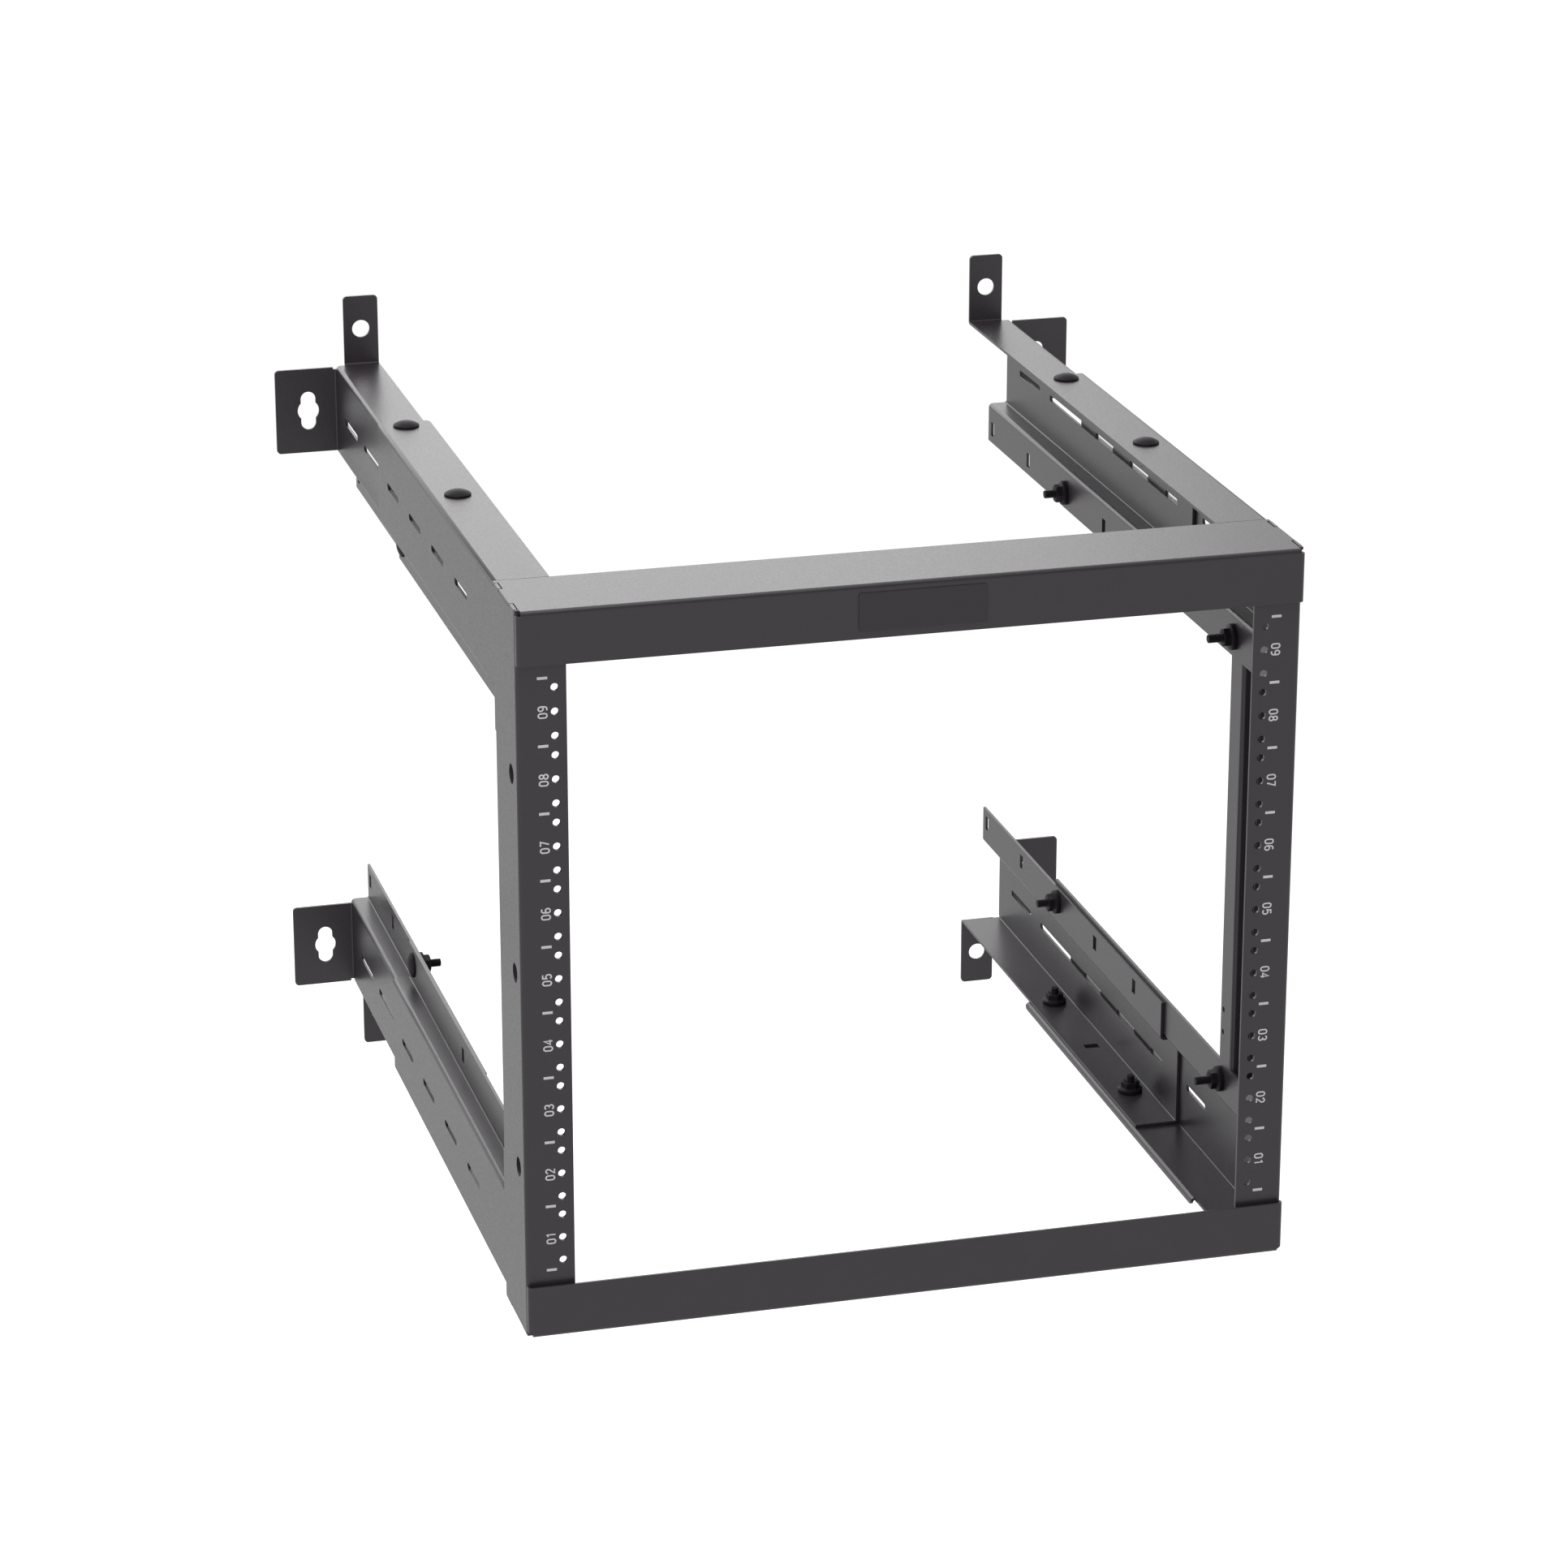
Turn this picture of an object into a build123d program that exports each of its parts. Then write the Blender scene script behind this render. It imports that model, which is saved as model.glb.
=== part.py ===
# Open wall mount rack for 19-inch equipment, nine rack units high.
#
# Frame: X to the right, Y towards the wall, Z up, millimetres. The wall plane is
# y = 0 and the rack reaches out from it towards -Y. The origin is on the back face
# of the upper left wall tab, straight below its hole. Every shape is drawn around
# the middle of the rack, and build() moves them all to that origin at the end.
#
# Each side frame is one folded sheet: an upright with the equipment rail, and an
# upper and a lower arm of lipped channel. A wall arm slides inside each of those
# channels and is clamped there with carriage bolts and flange nuts. A top bar and
# a bottom bar tie the two side frames together at the front.

import os

from build123d import *

# Sheet
SHEET = 2.0                 # thickness of every folded part
BEND = 3.0                  # outer radius of a bend
NEST_GAP = 0.3              # clearance between a wall arm and its side frame
JOINT_GAP = 0.2             # clearance where one folded part butts on another
CUT = 1.0                   # how far a cutter reaches past the face it cuts

# Rack units and the equipment rails
UNIT = 44.45                # height of one rack unit
UNITS = 9
HOLE_SPACING = 465.1        # across the rack, between the two lines of rail holes
HOLE_OFFSETS = (6.35, 22.225, 38.1)     # from the lower edge of each unit
RAIL_HOLE = 5.0             # diameter
HOLE_INSET = 7.55           # line of rail holes to the inner edge of its rail
RAIL_WIDTH = 32.0           # inner edge of a rail to the outer face of its web
OPENING_WIDTH = HOLE_SPACING - 2 * HOLE_INSET

# Overall sizes
WIDTH = OPENING_WIDTH + 2 * RAIL_WIDTH      # over the webs of the side frames
DEPTH = 614.0               # wall plane to the front face of the rails
FRAME_HEIGHT = 490.0        # over the two bars
ARM_SPREAD = 483.0          # over the upper and the lower arms
TOP = ARM_SPREAD / 2        # the top bar is flush with the upper arms
BOTTOM = TOP - FRAME_HEIGHT
UNIT_BASE = (TOP + BOTTOM - UNITS * UNIT) / 2

# Section of the side frame's arms
WEB_HEIGHT = 71.0           # over the wide and the narrow flange
WIDE_FLANGE = 36.5          # over the web
NARROW_FLANGE = 15.0        # web face to the lip's inner face
LIP = 27.0                  # narrow flange to the free edge of the lip
EDGE_LIP = 5.0              # small stiffening lip on the lower arm's wide flange
EDGE_LIP_START = 74.0       # rail face to the front end of the small lip
EDGE_LIP_CORNER = 2.5       # radius of the corners at the lip's two ends
FLANGE_CORNER = 5.0         # radius of the wide flange's free corner at the rear
ARM_REACH = 442.0           # rail face to the rear end of a side frame's arm

# Section of the upright
UPRIGHT_DEPTH = 64.0        # rail face to the back of the upright
UPRIGHT_LIP = 20.0

# Holes in the side frames
WEB_SLOT_LENGTH = 39.0
WEB_SLOT_HEIGHT = 4.5
WEB_SLOTS = 4
WEB_SLOT_PITCH = 75.4
FIRST_WEB_SLOT = 164.0      # rail face to the middle of the first slot
SIDE_HOLE = 13.0            # round holes in the upright's web
SIDE_HOLE_SETBACK = 17.5
SIDE_HOLE_UNITS = (1.5, 4.5, 7.5)
ACCESSORY_HOLE = 4.0        # two small holes low in the upright's lip
ACCESSORY_INSET = 5.0       # from the lip's free edge
ACCESSORY_HEIGHTS = (82.0, 98.0)        # above the lower edge of the first unit

# Bars
BAR_HEIGHT = 35.5
BAR_PROUD = 5.0             # rail face to the front face of the bar
BAR_DEPTH = 64.0            # rail face to the rear edge of the bar's flange
TAB_LENGTH = 12.0           # tabs of the side frame that lock into the bars
TAB_SETBACKS = (8.5, 53.0)  # rail face to the middle of each tab
NOTCH_GAP = 0.8             # around a tab in its notch

# Wall arms
ARM_LENGTH = 417.0          # wall plane to the front end of a wall arm
ARM_FLANGE_SETBACK = 2.5    # the wall arm's wide flange ends short of the frame's
ARM_LIP_SETBACK = 3.0       # and so does its lip
WALL_FLANGE = 44.5          # reaches out from the arm's web
WALL_FLANGE_TOP = 1.5       # below the arm's wide flange
WALL_RUN = 12.0             # part of the flange and the tab that lies along the arm
END_RELIEF = 4.0            # the channel's corner stops this far short of the wall
WALL_FLANGE_HEIGHT = 62.0
WALL_TAB_WIDTH = 25.0
WALL_TAB_HEIGHT = 50.0      # above the arm's wide flange
CORNER = 3.0                # radius of the corners of tabs and flanges
TAB_HOLE = 12.7
TAB_HOLE_HEIGHT = 25.8      # above the arm's wide flange
KEYHOLE_WIDTH = 10.8
KEYHOLE_LENGTH = 28.0
KEYHOLE_EYE = 15.5
KEYHOLE_OUT = 20.8          # arm's web to the middle of the keyhole
SHORT_SLOT = (34.0, 82.0)   # wall plane to the two ends of the slot
LONG_SLOT = (106.0, 386.0)

# Bolt grid along the arms
GRID_START = 10.0           # wall plane to the first hole
GRID_PITCH = 87.0
ARM_LIP_PLACES = (0, 1, 2, 3, 4)        # slots in a wall arm's lip
ARM_FLANGE_PLACES = (2, 3, 4)
FRAME_LIP_PLACES = (2, 4, 6)            # every second place in a side frame
FRAME_FLANGE_PLACES = (2, 4)
FLANGE_BOLT_PLACES = (2, 4)             # slots that carry a bolt
LIP_BOLT_PLACES = (2, 6)
BOLT_SLOT = (7.0, 10.5)     # width and length of the square neck's slot
FLANGE_BOLT_INSET = 18.0    # outer web face to the bolt's axis
LIP_BOLT_INSET = 13.5       # free edge of the frame's lip to the bolt's axis

# Carriage bolts and flange nuts
BOLT_DIA = 6.0
BOLT_LENGTH = 20.0
BOLT_CHAMFER = 0.6
HEAD_DIA = 16.5
HEAD_RIM = 1.2              # straight edge of the head
HEAD_DOME = 3.0             # dome above that edge
NECK = 6.3
NECK_LENGTH = 1.9
NUT_FLATS = 11.0
NUT_HEIGHT = 7.2
NUT_FLANGE_DIA = 17.5
NUT_FLANGE = 1.8
THREAD_GAP = 0.1            # nut bore over the bolt, on the radius

# Label
LABEL_WIDTH = 84.0
LABEL_HEIGHT = 25.0
LABEL_THICKNESS = 0.8
LABEL_CENTRE = 3.0          # right of the middle of the bar

# Origin
ORIGIN_DROP = 15.0          # from the centre of the wall tab's hole down to the origin

# Worked-out places
HALF = WIDTH / 2
RAIL_Y = -DEPTH
BAR_FRONT = RAIL_Y - BAR_PROUD
FRAME_END = RAIL_Y + ARM_REACH
UPRIGHT_BACK = RAIL_Y + UPRIGHT_DEPTH
BAR_BACK = RAIL_Y + BAR_DEPTH
LIP_X = HALF - NARROW_FLANGE + SHEET        # the lip's face towards the web
NARROW_Z = TOP - WEB_HEIGHT
LIP_EDGE = NARROW_Z - LIP
INNER = HALF - WIDE_FLANGE  # free edge of the side frame's wide flange
INSET = SHEET + NEST_GAP    # from a side frame's face to the nested arm's face
ARM_TOP = TOP - INSET
ARM_WEB = HALF - INSET
ARM_NARROW_Z = NARROW_Z + INSET
ARM_LIP_X = LIP_X - INSET
ARM_LIP_EDGE = LIP_EDGE + ARM_LIP_SETBACK
ARM_WIDE = WIDE_FLANGE - INSET - ARM_FLANGE_SETBACK
BOLT_LIP_Z = LIP_EDGE + LIP_BOLT_INSET
BOLT_FLANGE_X = HALF - FLANGE_BOLT_INSET
TAB_X = ARM_WEB - ARM_WIDE + WALL_TAB_WIDTH / 2
TAB_HOLE_Z = ARM_TOP + TAB_HOLE_HEIGHT
ORIGIN_X = -TAB_X
ORIGIN_Z = TAB_HOLE_Z - ORIGIN_DROP


def grid_y(place):
    """Y of a place on the bolt grid, counted from the wall."""
    return -(GRID_START + GRID_PITCH * place)


def strip(points, inward, folds_back=False):
    """Face of a folded strip: a line with bends, thickened to one side.

    Where the last fold turns back, the line lies on the inside of that bend.
    """
    radii = [BEND] * (len(points) - 2)
    if folds_back:
        radii[-1] = BEND - SHEET
    line = FilletPolyline(*points, radius=radii)
    return make_face(offset(line, amount=SHEET, side=inward, closed=True).edges())


def block(x0, x1, y0, y1, z0, z1):
    """Box between two corners."""
    return Pos((x0 + x1) / 2, (y0 + y1) / 2, (z0 + z1) / 2) * Box(x1 - x0, y1 - y0, z1 - z0)


def along_y(face, y0, y1):
    """Extrude a face drawn in X and Z from y0 to y1."""
    plane = Plane(origin=(0, y1, 0), x_dir=(1, 0, 0), z_dir=(0, -1, 0))
    return extrude(plane * face, y1 - y0)


def slot_x(length, height, y, z, x0, x1):
    """Obround cutter through the web, long way along Y."""
    plane = Plane(origin=(x0, y, z), x_dir=(0, 1, 0), z_dir=(1, 0, 0))
    return extrude(plane * SlotOverall(length, height), x1 - x0)


def arm_profile(web, top, narrow_z, wide, lip_x, lip_edge):
    """Lipped channel of an upper arm, drawn in X and Z."""
    points = (
        (web - wide, top), (web, top), (web, narrow_z), (lip_x, narrow_z), (lip_x, lip_edge),
    )
    return strip(points, Side.RIGHT, folds_back=True)


def lip_slot(place):
    """Cutter for one slot through the lips."""
    width, length = BOLT_SLOT
    y = grid_y(place)
    return block(ARM_LIP_X - SHEET - CUT, LIP_X + CUT, y - width / 2, y + width / 2,
                 BOLT_LIP_Z - length / 2, BOLT_LIP_Z + length / 2)


def flange_slot(place):
    """Cutter for one slot through the wide flanges."""
    width, length = BOLT_SLOT
    y = grid_y(place)
    return block(BOLT_FLANGE_X - length / 2, BOLT_FLANGE_X + length / 2,
                 y - width / 2, y + width / 2, ARM_TOP - SHEET - CUT, TOP + CUT)


def frame_arm(wide):
    """Upper arm of the right side frame, with its lip run forward to the rail."""
    profile = arm_profile(HALF, TOP, NARROW_Z, wide, LIP_X, LIP_EDGE)
    arm = along_y(profile, UPRIGHT_BACK, FRAME_END)
    if BAR_BACK + JOINT_GAP > UPRIGHT_BACK:
        arm -= block(0, HALF + CUT, UPRIGHT_BACK - CUT, BAR_BACK + JOINT_GAP, TOP - SHEET, TOP + CUT)
    low = strip(((HALF - SHEET, NARROW_Z), (LIP_X, NARROW_Z), (LIP_X, LIP_EDGE)), Side.RIGHT,
                folds_back=True)
    return arm + along_y(low, RAIL_Y + SHEET, UPRIGHT_BACK)


def upper_frame_arm():
    """Upper arm, with the free corner of its wide flange rounded."""
    arm = frame_arm(WIDE_FLANGE)
    corner = [edge for edge in arm.edges().filter_by(Axis.Z)
              if edge.center().X < INNER + SHEET and edge.center().Y > FRAME_END - SHEET]
    return fillet(corner, FLANGE_CORNER)


def lower_frame_arm():
    """Lower arm, whose wide flange has a small lip turned down and runs on to the rail."""
    section = ((INNER + 2 * BEND, SHEET - TOP), (INNER, SHEET - TOP), (INNER, SHEET - TOP - EDGE_LIP))
    lip = along_y(strip(section, Side.LEFT), RAIL_Y + EDGE_LIP_START, FRAME_END)
    corners = [edge for edge in lip.edges().filter_by(Axis.X) if edge.center().Z < -TOP]
    lip = fillet(corners, EDGE_LIP_CORNER)
    run_on = block(INNER + BEND, HALF - SHEET, RAIL_Y + SHEET, BAR_BACK + JOINT_GAP,
                   -TOP, SHEET - TOP)
    return mirror(frame_arm(WIDE_FLANGE - BEND), Plane.XY) + lip + run_on


def upright():
    """Rail, web and rear lip of the right side frame, from bar to bar."""
    front = ((OPENING_WIDTH / 2, RAIL_Y), (HALF, RAIL_Y), (HALF, UPRIGHT_BACK))
    whole = front + ((LIP_X, UPRIGHT_BACK), (LIP_X, UPRIGHT_BACK + UPRIGHT_LIP))
    body = extrude(Pos(0, 0, -LIP_EDGE) * strip(whole, Side.LEFT, folds_back=True), 2 * LIP_EDGE)
    front = strip(front, Side.LEFT)
    body += extrude(Pos(0, 0, LIP_EDGE) * front, TOP - SHEET - LIP_EDGE)
    body += extrude(Pos(0, 0, BOTTOM + SHEET) * front, -LIP_EDGE - BOTTOM - SHEET)
    for sign in (-1, 1):
        z0, z1 = sorted((sign * LIP_EDGE, sign * NARROW_Z))
        body += block(LIP_X - SHEET, HALF - SHEET, UPRIGHT_BACK - SHEET, UPRIGHT_BACK, z0, z1)
    for setback in TAB_SETBACKS:
        y = RAIL_Y + setback
        body += block(HALF - SHEET, HALF, y - TAB_LENGTH / 2, y + TAB_LENGTH / 2, BOTTOM, TOP)
    return body


def rail_holes():
    """Cutters for the rail's holes, three to a unit."""
    holes = []
    for unit in range(UNITS):
        for offset_z in HOLE_OFFSETS:
            z = UNIT_BASE + UNIT * unit + offset_z
            plane = Plane(origin=(HOLE_SPACING / 2, RAIL_Y - CUT, z), x_dir=(1, 0, 0),
                          z_dir=(0, 1, 0))
            holes.append(extrude(plane * Circle(RAIL_HOLE / 2), SHEET + 2 * CUT))
    return holes


def side_holes():
    """Cutters for the round holes in the upright's web and in its lip."""
    holes = []
    for units in SIDE_HOLE_UNITS:
        place = Plane(origin=(HALF - BEND, RAIL_Y + SIDE_HOLE_SETBACK, UNIT_BASE + UNIT * units),
                      x_dir=(0, 1, 0), z_dir=(1, 0, 0))
        holes.append(extrude(place * Circle(SIDE_HOLE / 2), BEND + CUT))
    for height in ACCESSORY_HEIGHTS:
        y = UPRIGHT_BACK + UPRIGHT_LIP - ACCESSORY_INSET
        place = Plane(origin=(LIP_X - SHEET - CUT, y, UNIT_BASE + height),
                      x_dir=(0, 1, 0), z_dir=(1, 0, 0))
        holes.append(extrude(place * Circle(ACCESSORY_HOLE / 2), SHEET + 2 * CUT))
    return holes


def arm_slots():
    """Cutters for the slots of the right upper arm of a side frame."""
    cutters = []
    for index in range(WEB_SLOTS):
        y = RAIL_Y + FIRST_WEB_SLOT + WEB_SLOT_PITCH * index
        cutters.append(slot_x(WEB_SLOT_LENGTH, WEB_SLOT_HEIGHT, y, (TOP + NARROW_Z) / 2,
                              HALF - BEND, HALF + CUT))
    cutters += [lip_slot(place) for place in FRAME_LIP_PLACES]
    cutters += [flange_slot(place) for place in FRAME_FLANGE_PLACES]
    return cutters


def right_side_frame():
    """One folded sheet: upright, upper arm and lower arm."""
    body = upright() + upper_frame_arm() + lower_frame_arm()
    cutters = arm_slots()
    lower_cutters = [mirror(cutter, Plane.XY) for cutter in cutters]
    return body - cutters - lower_cutters - rail_holes() - side_holes()


def right_upper_wall_arm():
    """Lipped channel with a wall flange bent out and a wall tab bent up."""
    profile = arm_profile(ARM_WEB, ARM_TOP, ARM_NARROW_Z, ARM_WIDE, ARM_LIP_X, ARM_LIP_EDGE)
    arm = along_y(profile, -ARM_LENGTH, 0)
    # The wall flange, drawn in X and Y.
    bend = ((ARM_WEB - SHEET, -WALL_RUN), (ARM_WEB - SHEET, 0), (ARM_WEB + WALL_FLANGE, 0))
    flange_top = ARM_TOP - WALL_FLANGE_TOP
    flange_low = flange_top - WALL_FLANGE_HEIGHT
    flange = extrude(Pos(0, 0, flange_low) * strip(bend, Side.RIGHT), WALL_FLANGE_HEIGHT)
    outer = [edge for edge in flange.edges().filter_by(Axis.Y) if edge.center().X > ARM_WEB + SHEET]
    flange = fillet(outer, CORNER)
    # The wall tab, drawn in Y and Z.
    bend = ((-WALL_RUN, ARM_TOP - SHEET), (0, ARM_TOP - SHEET), (0, ARM_TOP + WALL_TAB_HEIGHT))
    edge_x = TAB_X - WALL_TAB_WIDTH / 2
    side = Plane(origin=(edge_x, 0, 0), x_dir=(0, 1, 0), z_dir=(1, 0, 0))
    tab = extrude(side * strip(bend, Side.LEFT), WALL_TAB_WIDTH)
    outer = [edge for edge in tab.edges().filter_by(Axis.Y) if edge.center().Z > ARM_TOP + SHEET]
    tab = fillet(outer, CORNER)
    # Clear the channel's own end where the two bends leave it.
    arm -= block(ARM_WEB - BEND, ARM_WEB + CUT, -END_RELIEF, CUT, ARM_NARROW_Z + BEND, ARM_TOP + CUT)
    arm -= block(edge_x - CUT, ARM_WEB + CUT, -END_RELIEF, CUT, ARM_TOP - BEND, ARM_TOP + CUT)
    flange -= block(ARM_WEB - BEND, ARM_WEB + SHEET, -WALL_RUN - CUT, CUT, ARM_TOP - BEND, ARM_TOP + CUT)
    body = arm + flange + tab
    # Holes to the wall.
    keyhole_z = flange_top - WALL_FLANGE_HEIGHT / 2
    wall = Plane(origin=(ARM_WEB + KEYHOLE_OUT, CUT, keyhole_z), x_dir=(0, 0, 1), z_dir=(0, -1, 0))
    keyhole = SlotOverall(KEYHOLE_LENGTH, KEYHOLE_WIDTH) + Circle(KEYHOLE_EYE / 2)
    body -= extrude(wall * keyhole, SHEET + 2 * CUT)
    wall = Plane(origin=(TAB_X, CUT, TAB_HOLE_Z), x_dir=(1, 0, 0), z_dir=(0, -1, 0))
    body -= extrude(wall * Circle(TAB_HOLE / 2), SHEET + 2 * CUT)
    # Slots along the web, and the bolt grid.
    for start, end in (SHORT_SLOT, LONG_SLOT):
        body -= slot_x(end - start, WEB_SLOT_HEIGHT, -(start + end) / 2, (TOP + NARROW_Z) / 2,
                       ARM_WEB - BEND, ARM_WEB + CUT)
    for place in ARM_LIP_PLACES:
        body -= lip_slot(place)
    for place in ARM_FLANGE_PLACES:
        body -= flange_slot(place)
    return body


def bar():
    """Top bar: front plate, top flange with notches, and returns at both ends.

    The two folds stop short of each other, which leaves a small relief at the corner.
    """
    section = ((BAR_FRONT, TOP - BAR_HEIGHT), (BAR_FRONT, TOP), (BAR_BACK, TOP))
    side = Plane(origin=(BEND - HALF, 0, 0), x_dir=(0, 1, 0), z_dir=(1, 0, 0))
    body = extrude(side * strip(section, Side.RIGHT), WIDTH - 2 * BEND)
    plan = ((-HALF, RAIL_Y), (-HALF, BAR_FRONT), (HALF, BAR_FRONT), (HALF, RAIL_Y))
    low = Pos(0, 0, TOP - BAR_HEIGHT)
    body += extrude(low * strip(plan, Side.LEFT), BAR_HEIGHT - BEND)
    body += block(-HALF, HALF, RAIL_Y, BAR_BACK, TOP - SHEET, TOP)
    for setback in TAB_SETBACKS:
        y = RAIL_Y + setback
        reach = TAB_LENGTH / 2 + NOTCH_GAP
        notch = block(HALF - SHEET - NOTCH_GAP, HALF + CUT, y - reach, y + reach,
                      TOP - BEND, TOP + CUT)
        body -= [notch, mirror(notch, Plane.YZ)]
    return body


def carriage_bolt():
    """Bolt along -Z with the underside of its head at the origin."""
    radius = (HEAD_DOME ** 2 + (HEAD_DIA / 2) ** 2) / (2 * HEAD_DOME)
    rim = Cylinder(HEAD_DIA / 2, HEAD_RIM, align=(Align.CENTER, Align.CENTER, Align.MIN))
    dome = Pos(0, 0, HEAD_RIM + HEAD_DOME - radius) * Sphere(radius)
    dome &= Pos(0, 0, HEAD_RIM + HEAD_DOME / 2) * Box(HEAD_DIA + CUT, HEAD_DIA + CUT, HEAD_DOME)
    neck = Pos(0, 0, -NECK_LENGTH / 2) * Box(NECK, NECK, NECK_LENGTH)
    shank = Pos(0, 0, -BOLT_LENGTH / 2) * Cylinder(BOLT_DIA / 2, BOLT_LENGTH)
    end = shank.edges().filter_by(GeomType.CIRCLE).sort_by(Axis.Z)[0]
    return rim + dome + neck + chamfer(end, BOLT_CHAMFER)


def flange_nut():
    """Nut along -Z with its flange face at the origin."""
    nut = extrude(RegularPolygon(NUT_FLATS / 2, 6, major_radius=False), -NUT_HEIGHT)
    nut += Pos(0, 0, -NUT_FLANGE / 2) * Cylinder(NUT_FLANGE_DIA / 2, NUT_FLANGE)
    return nut - Cylinder(BOLT_DIA / 2 + THREAD_GAP, 3 * NUT_HEIGHT)


def fastener_seats():
    """Seats on the right upper arm: name, head plane and nut plane."""
    seats = []
    grip = 2 * SHEET + NEST_GAP
    for place in FLANGE_BOLT_PLACES:
        head = Plane(origin=(BOLT_FLANGE_X, grid_y(place), TOP), x_dir=(1, 0, 0), z_dir=(0, 0, 1))
        seats.append(("flange", place, head, grip))
    for place in LIP_BOLT_PLACES:
        head = Plane(origin=(LIP_X, grid_y(place), BOLT_LIP_Z),
                     x_dir=(0, 1, 0), z_dir=(1, 0, 0))
        nested = -grid_y(place) < ARM_LENGTH
        seats.append(("lip", place, head, grip if nested else SHEET))
    return seats


def place_by_corner(shape):
    """The right upper shape copied to all four corners by mirroring."""
    right_lower = mirror(shape, Plane.XY)
    return {
        "upper_right": shape,
        "lower_right": right_lower,
        "upper_left": mirror(shape, Plane.YZ),
        "lower_left": mirror(right_lower, Plane.YZ),
    }


def build():
    """All nodes by name."""
    nodes = {}
    side = right_side_frame()
    nodes["right_side_frame"] = side
    nodes["left_side_frame"] = mirror(side, Plane.YZ)
    top = bar()
    nodes["top_bar"] = top
    nodes["bottom_bar"] = Pos(0, 0, TOP + BOTTOM) * mirror(top, Plane.XY)
    for corner, arm in place_by_corner(right_upper_wall_arm()).items():
        nodes[corner + "_wall_arm"] = arm
    for kind, place, head, grip in fastener_seats():
        bolt = head * carriage_bolt()
        nut = head * (Pos(0, 0, -grip) * flange_nut())
        end = "rear" if place == min(LIP_BOLT_PLACES) else "front"
        for corner, shape in place_by_corner(bolt).items():
            nodes[corner + "_" + kind + "_bolt_" + end] = shape
        for corner, shape in place_by_corner(nut).items():
            nodes[corner + "_" + kind + "_nut_" + end] = shape
    label_z = TOP - BAR_HEIGHT / 2
    nodes["label_plate"] = block(
        LABEL_CENTRE - LABEL_WIDTH / 2, LABEL_CENTRE + LABEL_WIDTH / 2,
        BAR_FRONT - LABEL_THICKNESS, BAR_FRONT,
        label_z - LABEL_HEIGHT / 2, label_z + LABEL_HEIGHT / 2)
    return {name: Pos(-ORIGIN_X, 0, -ORIGIN_Z) * shape for name, shape in nodes.items()}


os.makedirs("parts", exist_ok=True)
for name, shape in build().items():
    shape.label = name
    export_step(shape, "parts/" + name + ".step")
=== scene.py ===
"""Looks of the wall mount rack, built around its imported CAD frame.

Run as a script, this builds every piece, the studio and the camera. Laid out as an add-on, so
that each piece can also be built again from the Rack panel with other sizes or colours.
Lengths are in metres in the file and in millimetres in the panel. X is to the right, Y towards
the wall and Z up, and the origin is on the upper left wall tab, as in the CAD frame.
"""

import math

import bmesh
import bpy
from bpy.props import FloatProperty, IntProperty, PointerProperty, StringProperty
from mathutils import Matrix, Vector


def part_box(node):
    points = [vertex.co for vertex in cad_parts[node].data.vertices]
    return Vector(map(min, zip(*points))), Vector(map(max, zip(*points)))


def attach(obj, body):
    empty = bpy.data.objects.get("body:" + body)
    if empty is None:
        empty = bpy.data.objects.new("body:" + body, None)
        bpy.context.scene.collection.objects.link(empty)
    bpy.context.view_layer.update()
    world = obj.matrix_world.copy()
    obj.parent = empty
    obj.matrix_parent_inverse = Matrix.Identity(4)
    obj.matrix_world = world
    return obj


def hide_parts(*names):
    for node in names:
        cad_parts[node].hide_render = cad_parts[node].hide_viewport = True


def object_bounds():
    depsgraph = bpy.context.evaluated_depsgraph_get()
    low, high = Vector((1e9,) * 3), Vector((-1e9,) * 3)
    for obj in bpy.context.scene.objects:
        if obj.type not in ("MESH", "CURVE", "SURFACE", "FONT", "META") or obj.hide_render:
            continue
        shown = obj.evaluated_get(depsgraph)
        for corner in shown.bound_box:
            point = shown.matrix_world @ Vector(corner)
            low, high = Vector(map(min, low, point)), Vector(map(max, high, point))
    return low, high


bl_info = {
    "name": "Wall Mount Rack",
    "version": (1, 0, 0),
    "blender": (4, 5, 0),
    "location": "3D View > Sidebar > Rack",
    "description": "Sheet metal, fasteners, unit marks and studio for a wall mount rack",
    "category": "Object",
}

MM = 0.001
BODY = "root"
CORNERS = ("upper_left", "upper_right", "lower_left", "lower_right")
ENDS = ("rear", "front")
SHEET_NODES = (
    "left_side_frame", "right_side_frame", "top_bar", "bottom_bar",
    "upper_left_wall_arm", "upper_right_wall_arm", "lower_left_wall_arm", "lower_right_wall_arm",
)

# Sizes that the CAD source gives, in metres
UNIT = 44.45 * MM           # height of one rack unit
UNITS = 9
HEAD_HEIGHT = 4.2 * MM      # rim and dome of the CAD source's bolt head
NECK_LENGTH = 1.9 * MM

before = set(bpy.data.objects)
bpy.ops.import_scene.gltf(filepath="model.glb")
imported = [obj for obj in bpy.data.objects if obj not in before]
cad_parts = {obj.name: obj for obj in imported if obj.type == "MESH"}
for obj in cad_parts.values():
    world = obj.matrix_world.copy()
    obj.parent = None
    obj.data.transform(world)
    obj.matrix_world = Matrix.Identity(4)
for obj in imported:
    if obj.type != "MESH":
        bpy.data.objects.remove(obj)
cad_low, cad_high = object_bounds()
left_low, left_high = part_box("left_side_frame")
right_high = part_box("right_side_frame")[1]
RAIL_FACE = left_low.y
MIDDLE_X = (left_low.x + right_high.x) / 2
UNIT_BASE = (left_low.z + left_high.z) / 2 - UNITS * UNIT / 2


# Helpers

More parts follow.
